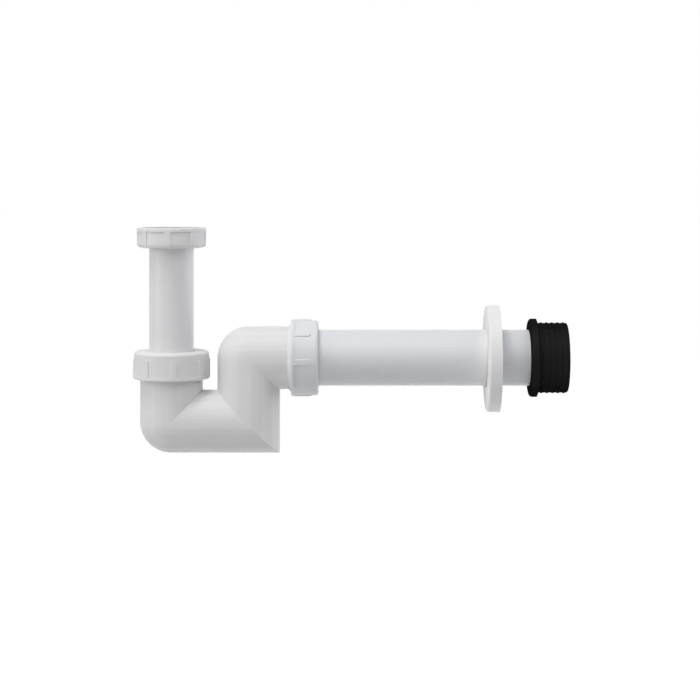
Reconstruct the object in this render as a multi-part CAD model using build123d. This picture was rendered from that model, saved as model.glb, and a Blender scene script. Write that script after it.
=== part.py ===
from build123d import *
from math import radians, tan
import os

# Bidet trap in white polypropylene, in millimetres. The origin is the centre of
# the waste nut's mouth, +Z is up, and the outlet pipe runs along +X.

# Pipes
TAILPIECE_RADIUS = 16.0
TAILPIECE_WALL = 1.8
OUTLET_PIPE_RADIUS = 20.0
OUTLET_PIPE_WALL = 1.8

# Threads: outer radius of the waste's and of the U bend's. The spigots are solid
# only to the root of theirs, which is the U bend's own outside.
WASTE_THREAD_RADIUS = 20.955
BODY_THREAD_RADIUS = 23.9
BODY_THREAD_CLEARANCE = 0.05

# Fits
SLIDE_CLEARANCE = 0.05
SOCKET_CLEARANCE = 0.3
NUT_HOLE_CLEARANCE = 0.4
OUTLET_NUT_TO_SHOULDER = 0.1
INLET_NUT_OVER_SHOULDER = 1.4

# U bend: outside radius, wall, and the runs between its axes
BODY_RADIUS = 22.4
BODY_WALL = 2.9
INLET_LIMB = 44.6
BOTTOM_RUN = 55.3
RISE = 45.3
OUTLET_LIMB = 44.3
SHOULDER_CHAMFER = 1.4
SHOULDER_FLAT = 0.6

# Mouths of the U bend: a cone for the seal, and the outlet's socket
MOUTH_CONE_RADIUS = 21.6
INLET_CONE_DEPTH = 8.0
OUTLET_CONE_DEPTH = 5.0
SOCKET_DEPTH = 22.0

# Waste nut
WASTE_NUT_RADIUS = 24.7
WASTE_NUT_HEIGHT = 14.4
WASTE_NUT_COLLAR = 2.6
WASTE_NUT_RIB_LENGTH = 13.6
WASTE_NUT_RIB_WIDTH = 4.1
WASTE_NUT_RIB_PHASE = 1.4
WASTE_NUT_EDGE_ROUND = 3.0
WASTE_THREAD_LENGTH = 7.2
WASTE_RELIEF = 0.45

# Compression nuts: both are the same moulding, apart from the pipe's hole
BODY_NUT_RADIUS = 27.5
BODY_NUT_LENGTH = 19.4
BODY_NUT_COLLAR = 2.4
BODY_NUT_RIB_LENGTH = 14.2
BODY_NUT_RIB_WIDTH = 3.8
BODY_NUT_EDGE_ROUND = 2.2
INLET_NUT_RIB_PHASE = 9.0
OUTLET_NUT_RIB_PHASE = 1.6

# Common to the three nuts. A rib's width and length are those of its crest.
NUT_RIBS = 8
NUT_RIB_CORNER = 1.9
NUT_RIB_FLANK_ANGLE = 12
NUT_POCKET_DEPTH = 0.75
NUT_END_WALL = 2.6
NUT_MOUTH_CHAMFER = 0.7

# Rings and seals
SLIP_RING_THICKNESS = 1.5
SLIP_RING_RADIUS = 22.2
SLIP_RING_CHAMFER = 0.3
SEAL_HEAD = 1.5
SEAL_HEAD_RADIUS = 22.0
SEAL_REACH = 0.75
GASKET_THICKNESS = 2.6
GASKET_RADIUS = 19.3
GASKET_BORE_RADIUS = 14.6

# Tailpiece
TAILPIECE_FLANGE_RADIUS = 19.2
TAILPIECE_FLANGE = 2.0
TAILPIECE_SHOWING = 73.8
DIP_BELOW_AXIS = 1.6
PIPE_END_CHAMFER = 0.8

# Wall flange, which hangs on the outlet pipe
FLANGE_RADIUS = 38.2
FLANGE_DEPTH = 9.3
FLANGE_WALL = 2.0
FLANGE_TAPER = 0.3
FLANGE_ROUND = 2.0
FLANGE_HUB_WALL = 1.8
FLANGE_HUB_RECESS = 0.5
FLANGE_HOLE_CLEARANCE = 0.7
FLANGE_HANG = 0.6

# Rubber connector
OUTLET_PIPE_SHOWING = 150.1
FLANGE_TO_RUBBER = 21.3
RUBBER_LENGTH = 27.3
RUBBER_RADIUS = 24.8
RUBBER_COLLAR_RADIUS = 27.9
RUBBER_COLLAR_WIDTH = 5.3
RUBBER_COLLAR_SLANT = 1.2
RUBBER_COLLAR_ROUND = 2.1
RUBBER_RIBS = 5
RUBBER_RIB_PITCH = 3.94
RUBBER_RIB_HEIGHT = 0.5
RUBBER_RIB_FOOT = 2.0
RUBBER_RIB_CREST = 0.6
RUBBER_FIRST_RIB = 8.9
RUBBER_END_CHAMFER = 0.6
RUBBER_LIPS = 3
RUBBER_LIP_WIDTH = 2.0
RUBBER_LIP_HEIGHT = 0.8
PIPE_SHORT_OF_RUBBER = 2.0

# Two sizes this close are the same one
SAME_SIZE = 0.01

# Places that follow from the sizes above
waste_seat_z = -(WASTE_NUT_HEIGHT - NUT_END_WALL)
gasket_z = waste_seat_z + TAILPIECE_FLANGE
seal_stack = NUT_END_WALL + SLIP_RING_THICKNESS + SEAL_HEAD
inlet_nut_top_z = -(WASTE_NUT_HEIGHT + TAILPIECE_SHOWING)
inlet_rim_z = inlet_nut_top_z - seal_stack
bottom_axis_z = inlet_rim_z - INLET_LIMB
riser_axis_x = BOTTOM_RUN
outlet_axis_z = bottom_axis_z + RISE
outlet_rim_x = riser_axis_x + OUTLET_LIMB
outlet_nut_end_x = outlet_rim_x + seal_stack
socket_stop_x = outlet_rim_x - SOCKET_DEPTH
rubber_x = outlet_nut_end_x + OUTLET_PIPE_SHOWING
flange_x = rubber_x - FLANGE_TO_RUBBER - FLANGE_DEPTH
waterway_radius = BODY_RADIUS - BODY_WALL
inlet_shoulder_depth = BODY_NUT_LENGTH - seal_stack - INLET_NUT_OVER_SHOULDER
outlet_shoulder_depth = BODY_NUT_LENGTH - seal_stack + OUTLET_NUT_TO_SHOULDER


def turned(outline):
    """Turn a closed outline of (radius, height) points about the Z axis."""
    points = [(radius, 0, height) for radius, height in outline]
    return revolve(make_face(Polyline(*points, close=True)), Axis.Z)


def rod(radius, start, direction, length):
    """Solid round rod from a point, along a direction."""
    return extrude(Plane(origin=start, z_dir=direction) * Circle(radius), length)


def rim_edges(solid, radius, height):
    """The circular edges of that radius at that height on the Z axis."""
    return [
        edge
        for edge in solid.edges().filter_by(GeomType.CIRCLE)
        if abs(edge.radius - radius) < SAME_SIZE
        and abs(edge.arc_center.Z - height) < SAME_SIZE
    ]


def along_outlet(x):
    """Place that turns local +Z into +X, on the outlet's axis."""
    return Pos(x, 0, outlet_axis_z) * Rot(0, 90, 0)


def rounded_blank(radius, length, edge_round):
    """Plug with the rounded edge of a nut's closed end, at its far end."""
    blank = rod(radius, (0, 0, 0), (0, 0, 1), length)
    return fillet(rim_edges(blank, radius, length), edge_round)


def nut_rib(width, length, radius):
    """One grip rib on a nut of that radius, with sloping flanks and rounded far corners.

    It rises from one pocket's depth below the floor of the pockets to as far above the
    nut, and its flanks pass the rib's own width and length at the nut's radius."""
    below = 2 * NUT_POCKET_DEPTH
    spread = below * tan(radians(NUT_RIB_FLANK_ANGLE))
    foot = Rectangle(width + 2 * spread, length + spread, align=(Align.CENTER, Align.MIN))
    far_corners = foot.vertices().sort_by(Axis.Y)[-2:]
    foot = fillet(far_corners, NUT_RIB_CORNER + spread)
    outward = Plane(origin=(radius - below, 0, 0), x_dir=(0, 1, 0), z_dir=(1, 0, 0))
    return extrude(outward * foot, below + NUT_POCKET_DEPTH, taper=NUT_RIB_FLANK_ANGLE)


def ribbed_nut(radius, length, edge_round, collar, rib_width, rib_length, phase, cavity):
    """Nut with its mouth at Z 0: collar at the mouth, ribs, and pockets between them."""
    blank = rounded_blank(radius, length, edge_round)
    blank = chamfer(rim_edges(blank, radius, 0), NUT_MOUTH_CHAMFER)
    floor_radius = radius - NUT_POCKET_DEPTH
    pockets = rod(radius + edge_round, (0, 0, collar), (0, 0, 1), length - collar)
    pockets -= rounded_blank(floor_radius, length, edge_round)
    rib = nut_rib(rib_width, rib_length, radius)
    for i in range(NUT_RIBS):
        pockets -= Rot(0, 0, phase + i * 360 / NUT_RIBS) * rib
    return blank - pockets - cavity


def waste_nut():
    """Nut on the bidet waste's thread. It draws the tailpiece's flange up on the gasket."""
    relief_radius = WASTE_THREAD_RADIUS + WASTE_RELIEF
    cavity = turned([
        (0, 0),
        (WASTE_THREAD_RADIUS, 0),
        (WASTE_THREAD_RADIUS, WASTE_THREAD_LENGTH),
        (relief_radius, WASTE_THREAD_LENGTH + WASTE_RELIEF),
        (relief_radius, WASTE_NUT_HEIGHT - NUT_END_WALL),
        (TAILPIECE_RADIUS + NUT_HOLE_CLEARANCE, WASTE_NUT_HEIGHT - NUT_END_WALL),
        (TAILPIECE_RADIUS + NUT_HOLE_CLEARANCE, WASTE_NUT_HEIGHT),
        (0, WASTE_NUT_HEIGHT),
    ])
    nut = ribbed_nut(
        WASTE_NUT_RADIUS, WASTE_NUT_HEIGHT, WASTE_NUT_EDGE_ROUND, WASTE_NUT_COLLAR,
        WASTE_NUT_RIB_WIDTH, WASTE_NUT_RIB_LENGTH, WASTE_NUT_RIB_PHASE, cavity,
    )
    return Rot(180, 0, 0) * nut


def compression_nut(pipe_radius, phase):
    """Nut on the body's thread. Its end wall presses the slip ring and seal together."""
    bore = BODY_THREAD_RADIUS + BODY_THREAD_CLEARANCE
    cavity_end = BODY_NUT_LENGTH - NUT_END_WALL
    hole = pipe_radius + NUT_HOLE_CLEARANCE
    cavity = turned([
        (0, 0),
        (bore, 0),
        (bore, cavity_end),
        (hole, cavity_end),
        (hole, BODY_NUT_LENGTH),
        (0, BODY_NUT_LENGTH),
    ])
    return ribbed_nut(
        BODY_NUT_RADIUS, BODY_NUT_LENGTH, BODY_NUT_EDGE_ROUND, BODY_NUT_COLLAR,
        BODY_NUT_RIB_WIDTH, BODY_NUT_RIB_LENGTH, phase, cavity,
    )


def waste_gasket():
    """Flat rubber ring between the end of the bidet waste and the tailpiece's flange."""
    ring = turned([
        (GASKET_BORE_RADIUS, 0),
        (GASKET_RADIUS, 0),
        (GASKET_RADIUS, GASKET_THICKNESS),
        (GASKET_BORE_RADIUS, GASKET_THICKNESS),
    ])
    return Pos(0, 0, gasket_z) * ring


def tailpiece():
    """Flanged pipe that hangs from the waste nut and dips below the bottom tube's axis."""
    low = bottom_axis_z - DIP_BELOW_AXIS
    bore = TAILPIECE_RADIUS - TAILPIECE_WALL
    return turned([
        (bore, low),
        (TAILPIECE_RADIUS - PIPE_END_CHAMFER, low),
        (TAILPIECE_RADIUS, low + PIPE_END_CHAMFER),
        (TAILPIECE_RADIUS, waste_seat_z),
        (TAILPIECE_FLANGE_RADIUS, waste_seat_z),
        (TAILPIECE_FLANGE_RADIUS, gasket_z),
        (bore, gasket_z),
    ])


def slip_ring(pipe_radius):
    """Hard washer that lets the nut turn without twisting the seal. It lies on Z 0."""
    bore = pipe_radius + SOCKET_CLEARANCE
    return turned([
        (bore, 0),
        (SLIP_RING_RADIUS, 0),
        (SLIP_RING_RADIUS, SLIP_RING_THICKNESS - SLIP_RING_CHAMFER),
        (SLIP_RING_RADIUS - SLIP_RING_CHAMFER, SLIP_RING_THICKNESS),
        (bore, SLIP_RING_THICKNESS),
    ])


def conical_seal(pipe_radius, cone_depth, throat_radius):
    """Rubber wedge ring. Its head lies on the mouth's rim at Z 0, its flank in the cone."""
    bore = pipe_radius + SLIDE_CLEARANCE
    reach = cone_depth * SEAL_REACH
    root = MOUTH_CONE_RADIUS - SLIDE_CLEARANCE
    tip = root - (MOUTH_CONE_RADIUS - throat_radius) * SEAL_REACH
    return turned([
        (bore, -reach),
        (tip, -reach),
        (root, 0),
        (SEAL_HEAD_RADIUS, 0),
        (SEAL_HEAD_RADIUS, SEAL_HEAD),
        (bore, SEAL_HEAD),
    ])


def spigot_shoulder(depth):
    """Chamfered ring where the thread ends, that deep below a spigot's rim at Z 0."""
    foot = -depth
    return turned([
        (waterway_radius + BODY_WALL / 2, foot),
        (BODY_THREAD_RADIUS, foot),
        (BODY_THREAD_RADIUS, foot - SHOULDER_FLAT),
        (BODY_RADIUS, foot - SHOULDER_FLAT - SHOULDER_CHAMFER),
        (waterway_radius + BODY_WALL / 2, foot - SHOULDER_FLAT - SHOULDER_CHAMFER),
    ])


def mouth_cone(throat_radius, depth):
    """Space of the cone that the seal wedges into, below a rim at Z 0."""
    return turned([
        (0, 0),
        (MOUTH_CONE_RADIUS, 0),
        (throat_radius, -depth),
        (0, -depth),
    ])


def bent_rod(radius, corner, first, first_length, second, second_length):
    """Two rods square to each other, with a ball where their axes meet."""
    return (
        rod(radius, corner, first, first_length)
        + Pos(*corner) * Sphere(radius)
        + rod(radius, corner, second, second_length)
    )


def mitre_plane():
    """The 45 degree plane on which the two elbows are welded together."""
    return Plane(origin=(riser_axis_x, 0, bottom_axis_z), z_dir=(1, 0, 1))


def inlet_elbow():
    """Inlet limb and bottom tube: one moulding, open at its mouth and at the mitre."""
    corner = (0, 0, bottom_axis_z)
    runs = ((0, 0, 1), INLET_LIMB, (1, 0, 0), BOTTOM_RUN + BODY_RADIUS)
    elbow = bent_rod(BODY_RADIUS, corner, *runs)
    elbow += Pos(0, 0, inlet_rim_z) * spigot_shoulder(inlet_shoulder_depth)
    elbow -= bent_rod(waterway_radius, corner, *runs)
    elbow -= Pos(0, 0, inlet_rim_z) * mouth_cone(waterway_radius, INLET_CONE_DEPTH)
    return split(elbow, bisect_by=mitre_plane(), keep=Keep.BOTTOM)


def outlet_elbow():
    """Riser and outlet limb: one moulding, with the socket that the pipe is pushed into."""
    corner = (riser_axis_x, 0, outlet_axis_z)
    socket_radius = OUTLET_PIPE_RADIUS + SOCKET_CLEARANCE
    runs = ((0, 0, -1), RISE + BODY_RADIUS, (1, 0, 0), OUTLET_LIMB)
    elbow = bent_rod(BODY_RADIUS, corner, *runs)
    elbow += along_outlet(outlet_rim_x) * spigot_shoulder(outlet_shoulder_depth)
    elbow -= bent_rod(waterway_radius, corner, *runs)
    elbow -= rod(socket_radius, (socket_stop_x, 0, outlet_axis_z), (1, 0, 0), SOCKET_DEPTH)
    elbow -= along_outlet(outlet_rim_x) * mouth_cone(socket_radius, OUTLET_CONE_DEPTH)
    return split(elbow, bisect_by=mitre_plane(), keep=Keep.TOP)


def outlet_pipe():
    """Plain pipe from the socket's stop to just short of the rubber's end."""
    length = rubber_x + RUBBER_LENGTH - PIPE_SHORT_OF_RUBBER - socket_stop_x
    bore = OUTLET_PIPE_RADIUS - OUTLET_PIPE_WALL
    pipe = turned([
        (bore, 0),
        (OUTLET_PIPE_RADIUS - PIPE_END_CHAMFER, 0),
        (OUTLET_PIPE_RADIUS, PIPE_END_CHAMFER),
        (OUTLET_PIPE_RADIUS, length),
        (bore, length),
    ])
    return along_outlet(socket_stop_x) * pipe


def wall_flange():
    """Thin dished rosette with a rim and a hub. It hangs on the pipe by its hole."""
    hole = OUTLET_PIPE_RADIUS + FLANGE_HOLE_CLEARANCE
    hub = hole + FLANGE_HUB_WALL
    front = FLANGE_RADIUS - FLANGE_TAPER
    dish = turned([
        (hole, 0),
        (front, 0),
        (FLANGE_RADIUS, FLANGE_DEPTH),
        (FLANGE_RADIUS - FLANGE_WALL, FLANGE_DEPTH),
        (front - FLANGE_WALL, FLANGE_WALL),
        (hub, FLANGE_WALL),
        (hub, FLANGE_DEPTH - FLANGE_HUB_RECESS),
        (hole, FLANGE_DEPTH - FLANGE_HUB_RECESS),
    ])
    dish = fillet(rim_edges(dish, front, 0), FLANGE_ROUND)
    return Pos(0, 0, -FLANGE_HANG) * along_outlet(flange_x) * dish


def rubber_connector():
    """Rubber sleeve for the drain's socket: a stop collar, fine ribs, and lips inside."""
    outside = [
        (RUBBER_COLLAR_RADIUS, 0),
        (RUBBER_COLLAR_RADIUS, RUBBER_COLLAR_WIDTH),
        (RUBBER_RADIUS, RUBBER_COLLAR_WIDTH + RUBBER_COLLAR_SLANT),
    ]
    crest = RUBBER_RADIUS + RUBBER_RIB_HEIGHT
    for i in range(RUBBER_RIBS):
        middle = RUBBER_FIRST_RIB + i * RUBBER_RIB_PITCH
        outside += [
            (RUBBER_RADIUS, middle - RUBBER_RIB_FOOT / 2),
            (crest, middle - RUBBER_RIB_CREST / 2),
            (crest, middle + RUBBER_RIB_CREST / 2),
            (RUBBER_RADIUS, middle + RUBBER_RIB_FOOT / 2),
        ]
    outside += [
        (RUBBER_RADIUS, RUBBER_LENGTH - RUBBER_END_CHAMFER),
        (RUBBER_RADIUS - RUBBER_END_CHAMFER, RUBBER_LENGTH),
    ]
    groove = OUTLET_PIPE_RADIUS + RUBBER_LIP_HEIGHT
    lip_pitch = RUBBER_LENGTH / RUBBER_LIPS
    inside = []
    for i in range(RUBBER_LIPS):
        lip_start = i * lip_pitch
        lip_end = lip_start + RUBBER_LIP_WIDTH
        inside += [
            (OUTLET_PIPE_RADIUS, lip_start),
            (OUTLET_PIPE_RADIUS, lip_end),
            (groove, lip_end + RUBBER_LIP_HEIGHT),
            (groove, lip_start + lip_pitch - RUBBER_LIP_HEIGHT),
        ]
    inside[-1] = (groove, RUBBER_LENGTH)
    sleeve = turned(outside + inside[::-1])
    sleeve = fillet(rim_edges(sleeve, RUBBER_COLLAR_RADIUS, 0), RUBBER_COLLAR_ROUND)
    return along_outlet(rubber_x) * sleeve


def trap_parts():
    """Every piece of the trap, in its place, by name."""
    socket_radius = OUTLET_PIPE_RADIUS + SOCKET_CLEARANCE
    inlet_rim = Pos(0, 0, inlet_rim_z)
    inlet_ring = Pos(0, 0, inlet_rim_z + SEAL_HEAD)
    inlet_mouth = Pos(0, 0, inlet_nut_top_z - BODY_NUT_LENGTH)
    outlet_mouth = along_outlet(outlet_nut_end_x - BODY_NUT_LENGTH)
    return {
        "waste_nut": waste_nut(),
        "waste_gasket": waste_gasket(),
        "tailpiece": tailpiece(),
        "inlet_nut": inlet_mouth * compression_nut(TAILPIECE_RADIUS, INLET_NUT_RIB_PHASE),
        "inlet_slip_ring": inlet_ring * slip_ring(TAILPIECE_RADIUS),
        "inlet_seal": inlet_rim
        * conical_seal(TAILPIECE_RADIUS, INLET_CONE_DEPTH, waterway_radius),
        "inlet_elbow": inlet_elbow(),
        "outlet_elbow": outlet_elbow(),
        "outlet_seal": along_outlet(outlet_rim_x)
        * conical_seal(OUTLET_PIPE_RADIUS, OUTLET_CONE_DEPTH, socket_radius),
        "outlet_slip_ring": along_outlet(outlet_rim_x + SEAL_HEAD)
        * slip_ring(OUTLET_PIPE_RADIUS),
        "outlet_nut": outlet_mouth
        * compression_nut(OUTLET_PIPE_RADIUS, OUTLET_NUT_RIB_PHASE),
        "outlet_pipe": outlet_pipe(),
        "wall_flange": wall_flange(),
        "rubber_connector": rubber_connector(),
    }


os.makedirs("parts", exist_ok=True)
for name, piece in trap_parts().items():
    piece.label = name
    export_step(piece, f"parts/{name}.step")
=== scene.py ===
import bpy
import math
from mathutils import Matrix, Vector


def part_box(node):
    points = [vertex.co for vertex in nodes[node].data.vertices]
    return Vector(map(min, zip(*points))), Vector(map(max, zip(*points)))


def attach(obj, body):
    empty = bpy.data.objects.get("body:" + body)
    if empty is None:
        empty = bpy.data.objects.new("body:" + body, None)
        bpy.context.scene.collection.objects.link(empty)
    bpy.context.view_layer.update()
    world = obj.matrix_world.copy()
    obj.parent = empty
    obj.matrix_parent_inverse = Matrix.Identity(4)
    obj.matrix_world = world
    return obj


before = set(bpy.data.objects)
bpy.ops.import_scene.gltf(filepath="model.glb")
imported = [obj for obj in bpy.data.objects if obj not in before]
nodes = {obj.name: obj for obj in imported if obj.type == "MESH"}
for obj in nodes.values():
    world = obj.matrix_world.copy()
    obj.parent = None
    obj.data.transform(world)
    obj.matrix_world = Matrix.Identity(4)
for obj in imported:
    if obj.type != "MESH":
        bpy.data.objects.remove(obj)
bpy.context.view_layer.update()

# Waste nut and gasket.
# A ribbed nut in white polypropylene that screws up on the bidet waste's tail and presses a flat
# black rubber ring between it and the tailpiece. The nut is unscrewed from its mould's core.


def linear(hex_colour):
    """An sRGB colour such as "#EDEDEB" as linear light."""
    shares = [int(hex_colour[i:i + 2], 16) / 255 for i in (1, 3, 5)]
    light = [s / 12.92 if s <= 0.04045 else ((s + 0.055) / 1.055) ** 2.4 for s in shares]
    return (*light, 1.0)


def add(tree, kind, inputs=None, **settings):
    """Add one node, with its settings, and a value or a link for each input that is named."""
    node = tree.nodes.new(kind)
    for setting, value in settings.items():
        setattr(node, setting, value)
    for name, value in (inputs or {}).items():
        if isinstance(value, bpy.types.NodeSocket):
            tree.links.new(value, node.inputs[name])
        else:
            node.inputs[name].default_value = value
    return node


def new_material(name):
    """An empty material, with the tree to build it in and its output node."""
    material = bpy.data.materials.new(name)
    material.use_nodes = True
    tree = material.node_tree
    tree.nodes.clear()
    return material, tree, add(tree, "ShaderNodeOutputMaterial")


def dress(node, material):
    """Give a piece of the frame its real finish."""
    for material_slot in nodes[node].material_slots:
        material_slot.material = material


def moulded_polypropylene(name, dark, light, seams, painted_streaks_across=None):
    """White PP from a satin steel mould: low gloss, soft edges and a faint flow cloud.

    seams are (plane, half width in metres, height in millimetres) of parting lines and welds.
    The last argument gives the coordinates across which faint streaks of painted
    light and shade run."""
    material, tree, output = new_material(name)
    place = add(tree, "ShaderNodeTexCoord").outputs["Object"]
    # Pigment flow: clouds about 25 mm across, one shade apart.
    cloud = add(tree, "ShaderNodeTexNoise",
                {"Vector": place, "Scale": 1 / 0.025, "Detail": 3.0, "Roughness": 0.5})
    shade = cloud.outputs["Fac"]
    if painted_streaks_across:
        # Streaks of painted light and shade along the limbs, drawn 3.5 mm apart.
        streaks = add(tree, "ShaderNodeTexNoise",
                      {"Vector": painted_streaks_across(tree, place), "Scale": 1 / 0.0035,
                       "Detail": 1.0, "Roughness": 0.4})
        streaks = add(tree, "ShaderNodeMapRange",
                      {0: streaks.outputs["Fac"], 1: 0.3, 2: 0.7, 3: 0.0, 4: 1.0})
        shade = add(tree, "ShaderNodeMix", {0: 0.6, 2: shade, 3: streaks.outputs[0]}).outputs[0]
    colour = add(tree, "ShaderNodeMix", {0: shade, 6: linear(dark),
                                         7: linear(light)}, data_type="RGBA")
    # Mould satin: real grain is 0.1 mm, drawn at 1.2 mm so that it shows at all.
    satin = add(tree, "ShaderNodeTexNoise",
                {"Vector": place, "Scale": 1 / 0.0012, "Detail": 4.0, "Roughness": 0.6})
    gloss = add(tree, "ShaderNodeMapRange", {0: satin.outputs["Fac"], 3: 0.34, 4: 0.46})
    height = add(tree, "ShaderNodeMath", {0: satin.outputs["Fac"], 1: 0.006},
                 operation="MULTIPLY").outputs[0]
    for plane, half_width, rise in seams:
        across = add(tree, "ShaderNodeVectorMath", {0: place, 1: plane[0]},
                     operation="DOT_PRODUCT").outputs["Value"]
        away = add(tree, "ShaderNodeMath", {0: across, 1: plane[1]}, operation="SUBTRACT")
        away = add(tree, "ShaderNodeMath", {0: away.outputs[0]}, operation="ABSOLUTE")
        ridge = add(tree, "ShaderNodeMapRange",
                    {0: away.outputs[0], 1: 0.0, 2: half_width, 3: rise, 4: 0.0},
                    interpolation_type="SMOOTHSTEP")
        height = add(tree, "ShaderNodeMath", {0: height, 1: ridge.outputs[0]},
                     operation="ADD").outputs[0]
    bump = add(tree, "ShaderNodeBump", {"Height": height, "Distance": 0.001, "Strength": 1.0})
    plastic = add(tree, "ShaderNodeBsdfPrincipled", {
        "Base Color": colour.outputs[2],
        "Roughness": gloss.outputs[0],
        "Normal": bump.outputs[0],
        "IOR": 1.49,
        "Specular IOR Level": 0.22,
        "Subsurface Weight": 0.12,
        "Subsurface Radius": (1.0, 0.95, 0.9),
        "Subsurface Scale": 0.0015,
    })
    tree.links.new(plastic.outputs[0], output.inputs["Surface"])
    return material


def moulded_rubber(name, dark, light, shine, low_gloss, high_gloss):
    """Black EPDM: hardly any shine, a fine grain, and a greyish bloom in patches.

    shine is its specular level where it faces the eye."""
    material, tree, output = new_material(name)
    place = add(tree, "ShaderNodeTexCoord").outputs["Object"]
    # Bloom: patches about 12 mm across.
    bloom = add(tree, "ShaderNodeTexNoise",
                {"Vector": place, "Scale": 1 / 0.012, "Detail": 4.0, "Roughness": 0.6})
    colour = add(tree, "ShaderNodeMix", {0: bloom.outputs["Fac"], 6: linear(dark),
                                         7: linear(light)}, data_type="RGBA")
    # Grain of the sand-blasted mould: 0.2 mm, drawn at 0.8 mm so that it shows.
    grain = add(tree, "ShaderNodeTexNoise",
                {"Vector": place, "Scale": 1 / 0.0008, "Detail": 3.0, "Roughness": 0.7})
    gloss = add(tree, "ShaderNodeMapRange", {0: grain.outputs["Fac"], 3: low_gloss, 4: high_gloss})
    bump = add(tree, "ShaderNodeBump",
               {"Height": grain.outputs["Fac"], "Distance": 0.00003, "Strength": 1.0})
    # The rough skin shades itself at a flat angle, so its shine is lost there.
    facing = add(tree, "ShaderNodeLayerWeight", {"Blend": 0.5})
    shine = add(tree, "ShaderNodeMapRange",
                {0: facing.outputs["Facing"], 1: 0.1, 2: 0.45, 3: shine, 4: 0.0})
    rubber = add(tree, "ShaderNodeBsdfPrincipled", {
        "Base Color": colour.outputs[2],
        "Roughness": gloss.outputs[0],
        "Normal": bump.outputs[0],
        "IOR": 1.52,
        "Specular IOR Level": shine.outputs[0],
    })
    tree.links.new(rubber.outputs[0], output.inputs["Surface"])
    return material


# G 1 1/4 and G 1 1/2 threads have 11 turns an inch.
thread_pitch = 0.002309


def screw_thread(name, wall, crest, low, high, start, place, material, body):
    """Ridge of a pipe thread on a round wall, as one closed right-hand helix.

    wall and crest are radii, and the ridge's foot is sunk a little in the wall. low and high are
    where its first and last turn fade out, and start is the height that it passes at angle 0."""
    flank = math.tan(math.radians(27.5))
    half_crest = 0.00016
    sunk = 0.0001
    steps_a_turn = 96
    fade = math.radians(70)
    least = 0.02
    foot = wall - math.copysign(sunk, crest - wall)
    first = 2 * math.pi * (low - start) / thread_pitch
    last = 2 * math.pi * (high - start) / thread_pitch
    steps = round(steps_a_turn * (last - first) / (2 * math.pi))
    points = []
    for i in range(steps + 1):
        angle = first + (last - first) * i / steps
        share = min(1.0, min(angle - first, last - angle) / fade)
        share = least + (1 - least) * share * share * (3 - 2 * share)
        top = foot + (crest - foot) * share
        half_foot = half_crest + abs(top - foot) * flank
        z = start + thread_pitch * angle / (2 * math.pi)
        for radius, shift in ((foot, -half_foot), (top, -half_crest),
                              (top, half_crest), (foot, half_foot)):
            points.append((radius * math.cos(angle), radius * math.sin(angle), z + shift))
    faces = [(0, 1, 2, 3), tuple(4 * steps + k for k in (3, 2, 1, 0))]
    for i in range(steps):
        for k in range(4):
            near = 4 * i + k
            beside = 4 * i + (k + 1) % 4
            faces.append((near, near + 4, beside + 4, beside))
    mesh = bpy.data.meshes.new(name)
    mesh.from_pydata(points, [], faces)
    mesh.transform(place)
    mesh.materials.append(material)
    for polygon in mesh.polygons:
        polygon.use_smooth = True
    mesh.set_sharp_from_angle(angle=math.radians(35))
    ridge = bpy.data.objects.new(name, mesh)
    bpy.context.scene.collection.objects.link(ridge)
    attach(ridge, body)


nut_plastic = moulded_polypropylene("Moulded polypropylene, white, satin", "#EAEAEA", "#EFEFEF",
                                    [])
ring_rubber = moulded_rubber("Moulded EPDM rubber, seal grade", "#1B1B1B", "#262626", 0.2,
                             0.45, 0.6)
dress("waste_nut", nut_plastic)
dress("waste_gasket", ring_rubber)
# The nut's thread ends just under its mouth, and short of the gasket.
waste_nut_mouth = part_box("waste_nut")[1].z
waste_nut_wall = 0.020955
waste_nut_crest = 0.0196
waste_thread_low = waste_nut_mouth - 0.0067
waste_thread_high = waste_nut_mouth - 0.0008
waste_thread_start = waste_nut_mouth - 0.0030
screw_thread("waste_nut_thread", waste_nut_wall, waste_nut_crest, waste_thread_low,
             waste_thread_high, waste_thread_start, Matrix(), nut_plastic,
             "waste_nut")

# Tailpiece.
# A 32 mm pipe in white polypropylene, drawn out of a die, with a flange formed on its top end.
# The die leaves faint streaks along it, and its skin is smoother than a moulding's.


def extruded_polypropylene(name, stretch, dark, light):
    """White PP from a pipe die: streaks along the pipe, glossier than a moulding.

    stretch scales the pattern along X, Y and Z, so that the streaks run along the pipe."""
    material, tree, output = new_material(name)
    place = add(tree, "ShaderNodeTexCoord").outputs["Object"]
    along = add(tree, "ShaderNodeMapping", {"Vector": place, "Scale": stretch})
    # Die lines: real ones are 0.2 mm apart, drawn 2.5 mm apart so that they show.
    lines = add(tree, "ShaderNodeTexNoise",
                {"Vector": along.outputs[0], "Scale": 1 / 0.0025, "Detail": 2.0,
                 "Roughness": 0.45})
    gloss = add(tree, "ShaderNodeMapRange", {0: lines.outputs["Fac"], 3: 0.26, 4: 0.34})
    shade = add(tree, "ShaderNodeMix", {0: lines.outputs["Fac"], 6: linear(dark),
                                        7: linear(light)}, data_type="RGBA")
    bump = add(tree, "ShaderNodeBump",
               {"Height": lines.outputs["Fac"], "Distance": 0.000005, "Strength": 1.0})
    plastic = add(tree, "ShaderNodeBsdfPrincipled", {
        "Base Color": shade.outputs[2],
        "Roughness": gloss.outputs[0],
        "Normal": bump.outputs[0],
        "IOR": 1.49,
        "Specular IOR Level": 0.36,
        "Subsurface Weight": 0.12,
        "Subsurface Radius": (1.0, 0.95, 0.9),
        "Subsurface Scale": 0.0015,
    })
    tree.links.new(plastic.outputs[0], output.inputs["Surface"])
    return material


dress("tailpiece", extruded_polypropylene("Extruded polypropylene, upright", (1.0, 1.0, 0.01),
                                          "#E9E9EA", "#EDEDEE"))

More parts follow.
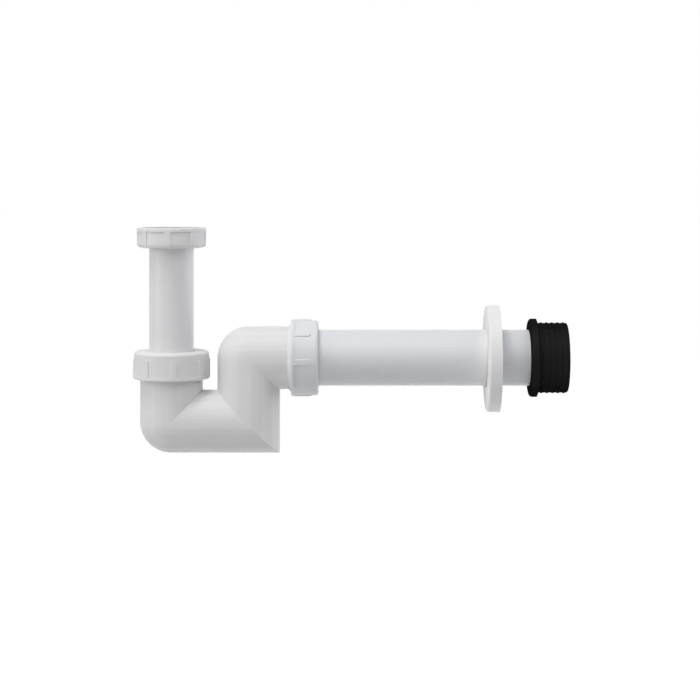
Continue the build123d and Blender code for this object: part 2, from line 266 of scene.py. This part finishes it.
# Inlet compression joint.
# The nut screws down on the U bend's spigot and squeezes a hard polyethylene slip ring and a
# conical EPDM seal round the tailpiece. Both threads are right-hand.
ring_plastic, tree, output = new_material("Moulded polyethylene, natural, waxy")
place = add(tree, "ShaderNodeTexCoord").outputs["Object"]
# Cut gate and cooling marks: soft patches about 4 mm across.
marks = add(tree, "ShaderNodeTexNoise", {"Vector": place, "Scale": 1 / 0.004, "Detail": 2.0})
ring_colour = add(tree, "ShaderNodeMix", {0: marks.outputs["Fac"], 6: linear("#E2E1DA"),
                                          7: linear("#EBEAE4")}, data_type="RGBA")
ring_gloss = add(tree, "ShaderNodeMapRange", {0: marks.outputs["Fac"], 3: 0.38, 4: 0.5})
ring_bump = add(tree, "ShaderNodeBump",
                {"Height": marks.outputs["Fac"], "Distance": 0.00002, "Strength": 1.0})
waxy = add(tree, "ShaderNodeBsdfPrincipled", {
    "Base Color": ring_colour.outputs[2],
    "Roughness": ring_gloss.outputs[0],
    "Normal": ring_bump.outputs[0],
    "IOR": 1.51,
    "Subsurface Weight": 0.3,
    "Subsurface Radius": (1.0, 0.95, 0.85),
    "Subsurface Scale": 0.002,
})
tree.links.new(waxy.outputs[0], output.inputs["Surface"])

dress("inlet_nut", nut_plastic)
dress("inlet_slip_ring", ring_plastic)
dress("inlet_seal", ring_rubber)
# The nut's ridge lies half a pitch beside the spigot's, and neither reaches the other's wall.
# Lows, highs and starts are measured from the nut's foot, along its axis.
spigot_wall = 0.0224
spigot_crest = 0.0238
nut_wall = 0.02395
nut_crest = 0.0226
spigot_start = 0.0012
nut_start = spigot_start + thread_pitch / 2
inlet_nut_low = 0.0026
nut_high = 0.0125
inlet_nut_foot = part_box("inlet_nut")[0].z
screw_thread("inlet_nut_thread", nut_wall, nut_crest, inlet_nut_foot + inlet_nut_low,
             inlet_nut_foot + nut_high, inlet_nut_foot + nut_start, Matrix(), nut_plastic,
             "inlet_nut")

# U bend.
# Two white polypropylene elbows, each moulded in halves of a mould that part on the plane
# through their axes, then welded face to face on the mitre. Their mouths carry the threads.
parting = ((0.0, 1.0, 0.0), 0.0)
limb_radius = 0.0224
bottom_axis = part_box("inlet_elbow")[0].z + limb_radius
riser_axis = 0.0553
diagonal = 1 / math.sqrt(2)
mitre = ((diagonal, 0.0, diagonal), (riser_axis + bottom_axis) * diagonal)
pipe_low, pipe_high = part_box("outlet_pipe")
outlet_axis = (pipe_low.z + pipe_high.z) / 2
climb = outlet_axis - bottom_axis


def across_limbs(tree, place):
    """Coordinates across the limb that a point is on, which run on round the bend's corners."""
    axes = add(tree, "ShaderNodeSeparateXYZ", {0: place})
    x = axes.outputs["X"]
    rise = add(tree, "ShaderNodeMath", {0: axes.outputs["Z"], 1: bottom_axis},
               operation="SUBTRACT").outputs[0]
    inlet_side = add(tree, "ShaderNodeMath", {0: x, 1: riser_axis / 2},
                     operation="LESS_THAN").outputs[0]
    in_inlet = add(tree, "ShaderNodeMath", {0: rise, 1: x}, operation="GREATER_THAN")
    run = add(tree, "ShaderNodeMath", {0: x, 1: rise}, operation="ADD").outputs[0]
    past_mitre = add(tree, "ShaderNodeMath", {0: run, 1: riser_axis}, operation="GREATER_THAN")
    past_riser = add(tree, "ShaderNodeMath", {0: run, 1: riser_axis + climb},
                     operation="GREATER_THAN").outputs[0]
    in_riser = add(tree, "ShaderNodeMath", {0: past_mitre.outputs[0], 1: past_riser},
                   operation="SUBTRACT")
    upright = add(tree, "ShaderNodeMix", {0: inlet_side, 2: in_riser.outputs[0],
                                          3: in_inlet.outputs[0]})
    step = add(tree, "ShaderNodeMath", {0: past_riser, 1: climb}, operation="MULTIPLY")
    across_level = add(tree, "ShaderNodeMath", {0: rise, 1: step.outputs[0]},
                       operation="SUBTRACT")
    across_riser = add(tree, "ShaderNodeMath", {0: riser_axis, 1: x}, operation="SUBTRACT")
    across_upright = add(tree, "ShaderNodeMix", {0: inlet_side, 2: across_riser.outputs[0], 3: x})
    across = add(tree, "ShaderNodeMix", {0: upright.outputs[0], 2: across_level.outputs[0],
                                         3: across_upright.outputs[0]})
    return add(tree, "ShaderNodeCombineXYZ",
               {"X": across.outputs[0], "Y": axes.outputs["Y"]}).outputs[0]


bend_plastic = moulded_polypropylene(
    "Moulded polypropylene, white, with seams", "#E8E8E8", "#F1F1F1",
    [(parting, 0.00022, 0.03), (mitre, 0.00025, -0.02)], across_limbs)
dress("inlet_elbow", bend_plastic)
dress("outlet_elbow", bend_plastic)
inlet_spigot_low = 0.0021
spigot_high = 0.0130
screw_thread("inlet_spigot_thread", spigot_wall, spigot_crest, inlet_nut_foot + inlet_spigot_low,
             inlet_nut_foot + spigot_high, inlet_nut_foot + spigot_start, Matrix(), bend_plastic,
             "trap_body")

# Outlet compression joint.
# The same nut, slip ring and seal, bored for the 40 mm pipe, on the U bend's level spigot. The
# nut's white is tinted a touch cool all over, a painted cool light from above.
outlet_nut_plastic_painted_cool = moulded_polypropylene("Moulded polypropylene, white, satin, painted cool light",
                                           "#E9EAEC", "#EEEFF1", [])
dress("outlet_nut", outlet_nut_plastic_painted_cool)
dress("outlet_slip_ring", ring_plastic)
dress("outlet_seal", ring_rubber)
outlet_spigot_low = 0.0003
outlet_nut_low = 0.0008
outlet_nut_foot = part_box("outlet_nut")[0].x
level = Matrix.Translation((outlet_nut_foot, 0, outlet_axis)) @ Matrix.Rotation(
    math.radians(90), 4, "Y")
screw_thread("outlet_spigot_thread", spigot_wall, spigot_crest, outlet_spigot_low, spigot_high,
             spigot_start, level, bend_plastic, "trap_body")
screw_thread("outlet_nut_thread", nut_wall, nut_crest, outlet_nut_low, nut_high, nut_start, level,
             outlet_nut_plastic_painted_cool, "outlet_nut")

# Outlet pipe.
# A plain 40 mm pipe in white polypropylene, drawn out of a die and sawn to length. It is pushed
# through the outlet seal, and it can be turned and slid there until the nut is tight.
# Its white is tinted a touch cool all over, a painted cool light from above.
dress("outlet_pipe", extruded_polypropylene("Extruded polypropylene, level", (0.01, 1.0, 1.0),
                                            "#E8E9EB", "#ECEDEF"))

# Wall flange.
# A thin rosette, loose on the pipe, which hides the wall's hole. It is moulded in a whiter
# polypropylene than the trap, since it is the piece that shows in the room.
dress("wall_flange", moulded_polypropylene("Moulded polypropylene, brilliant white",
                                           "#F6F6F6", "#FAFAFA", []))

# Rubber connector.
# A black EPDM sleeve with a stop collar and fine ribs, stretched on the pipe's end, which the
# drain's socket grips. It is nearly matt.
dress("rubber_connector",
      moulded_rubber("Moulded EPDM rubber, black, ribbed", "#1A1A1A", "#222221",
                     0.045, 0.42, 0.52))

# Studio.
# A plain white floor far below the hanging trap, soft lamps round it, and the camera square to
# the trap's side, a little higher than the waste nut's mouth.
centre = Vector((0.127, 0.0, -0.08))


def looked_at(tree):
    """1 for rays that see a thing, straight, in a gloss or through glass, and 0 for others."""
    rays = add(tree, "ShaderNodeLightPath")
    seen = add(tree, "ShaderNodeMath", {0: rays.outputs["Is Camera Ray"],
                                        1: rays.outputs["Is Glossy Ray"]}, operation="MAXIMUM")
    return add(tree, "ShaderNodeMath", {0: seen.outputs[0],
                                        1: rays.outputs["Is Transmission Ray"]},
               operation="MAXIMUM").outputs[0]


floor_z = -0.55
floor_material, tree, output = new_material("Studio floor, matt white")
# The lamps light the floor less with distance, and its glow makes up for that. Under the trap
# it glows least, so that the trap's soft shadow stays. away is in metres from the frame's origin,
# so it is 0.55 on the floor straight below.
where = add(tree, "ShaderNodeNewGeometry")
away = add(tree, "ShaderNodeVectorMath", {0: where.outputs["Position"]},
           operation="LENGTH").outputs["Value"]
# The dip in the glow under the trap also paints a faint grey pool of shade on the floor there.
near = add(tree, "ShaderNodeMapRange", {0: away, 1: 0.6, 2: 0.95, 3: 0.62, 4: 1.0},
           interpolation_type="SMOOTHSTEP")
far = add(tree, "ShaderNodeMapRange", {0: away, 1: 0.3, 2: 2.2, 3: 0.5, 4: 1.0})
glow = add(tree, "ShaderNodeMath", {0: near.outputs[0], 1: far.outputs[0]}, operation="MULTIPLY")
glow = add(tree, "ShaderNodeMath", {0: looked_at(tree), 1: glow.outputs[0]},
           operation="MULTIPLY")
speck = add(tree, "ShaderNodeTexNoise", {"Scale": 60.0, "Detail": 2.0})
paint = add(tree, "ShaderNodeMix", {0: speck.outputs["Fac"], 6: linear("#F2F2F2"),
                                    7: linear("#F4F4F4")}, data_type="RGBA")
floor_shader = add(tree, "ShaderNodeBsdfPrincipled", {
    "Base Color": paint.outputs[2],
    "Roughness": 0.8,
    "Specular IOR Level": 0.0,
    "Emission Color": (1.0, 1.0, 1.0, 1.0),
    "Emission Strength": glow.outputs[0],
})
tree.links.new(floor_shader.outputs[0], output.inputs["Surface"])
reach = 30.0
floor_mesh = bpy.data.meshes.new("studio_floor")
floor_mesh.from_pydata([(-reach, -reach, floor_z), (reach, -reach, floor_z),
                        (reach, reach, floor_z), (-reach, reach, floor_z)], [], [(0, 1, 2, 3)])
floor_mesh.materials.append(floor_material)
studio_floor = bpy.data.objects.new("studio_floor", floor_mesh)
bpy.context.scene.collection.objects.link(studio_floor)

world = bpy.data.worlds.new("Studio air")
bpy.context.scene.world = world
world.use_nodes = True
air = world.node_tree
air.nodes.clear()
air_shader = add(air, "ShaderNodeBackground", {"Color": (1.0, 1.0, 1.0, 1.0),
                                               "Strength": looked_at(air)})
add(air, "ShaderNodeOutputWorld", {"Surface": air_shader.outputs[0]})

# Soft lamps aimed at the trap. Azimuth 0 is the camera's side, 90 the wall's side.
lamp_distance = 1.6
for name, azimuth, elevation, width, height, power, colour in (
        ("key_high", -44, 67, 0.4, 0.4, 5.3, "#FFFFFF"),
        ("key_left", -35, 40, 1.0, 1.0, 5.6, "#FFFFFF"),
        ("side_left", -70, 12, 1.0, 1.0, 6.2, "#FFFFFF"),
        ("high_left", -90, 68, 1.0, 1.0, 3.4, "#FFFFFF"),
        ("front_strip", 0, 38, 0.4, 1.5, 3.0, "#FFFFFF"),
        ("high_front", 0, 65, 1.0, 1.0, 1.8, "#FFFFFF"),
        ("high_right", 70, 40, 1.0, 1.0, 7.0, "#FAFBFF"),
        ("side_right", 105, 12, 1.0, 1.0, 4.5, "#FAFBFF"),
        ("low_right", 105, -15, 1.0, 1.0, 4.8, "#FFFFFF"),
        ("low_back_right", 150, -15, 1.0, 1.0, 2.4, "#FFFFFF")):
    a, e = math.radians(azimuth), math.radians(elevation)
    way = Vector((math.sin(a) * math.cos(e), -math.cos(a) * math.cos(e), math.sin(e)))
    lamp = bpy.data.lights.new(name, "AREA")
    lamp.shape = "RECTANGLE"
    lamp.size = width
    lamp.size_y = height
    lamp.energy = power
    lamp.color = linear(colour)[:3]
    holder = bpy.data.objects.new(name, lamp)
    holder.location = centre + way * lamp_distance
    holder.rotation_mode = "QUATERNION"
    holder.rotation_quaternion = way.to_track_quat("Z", "Y")
    bpy.context.scene.collection.objects.link(holder)

# The picture is 700 pixels wide and shows 1.398 pixels a millimetre at the trap's axis, with the
# middle of the waste nut's mouth at mouth_across and mouth_down. The camera looks level, and its
# horizon is 180 pixels down, so the rest of the frame is shift.
picture_width = 700
pixels_a_metre = 1398.0
mouth_across = 171.57
mouth_down = 227.53
horizon_down = 180.0
camera_distance = 1.35
camera_data = bpy.data.cameras.new("camera")
camera_data.sensor_width = 36.0
camera_data.lens = camera_data.sensor_width * pixels_a_metre * camera_distance / picture_width
camera_data.shift_y = (horizon_down - picture_width / 2) / picture_width
camera = bpy.data.objects.new("camera", camera_data)
camera.location = ((picture_width / 2 - mouth_across) / pixels_a_metre, -camera_distance,
                   (mouth_down - horizon_down) / pixels_a_metre)
camera.rotation_euler = (math.radians(90), 0.0, 0.0)
bpy.context.scene.collection.objects.link(camera)
bpy.context.scene.camera = camera
bpy.context.scene.view_settings.view_transform = "Standard"
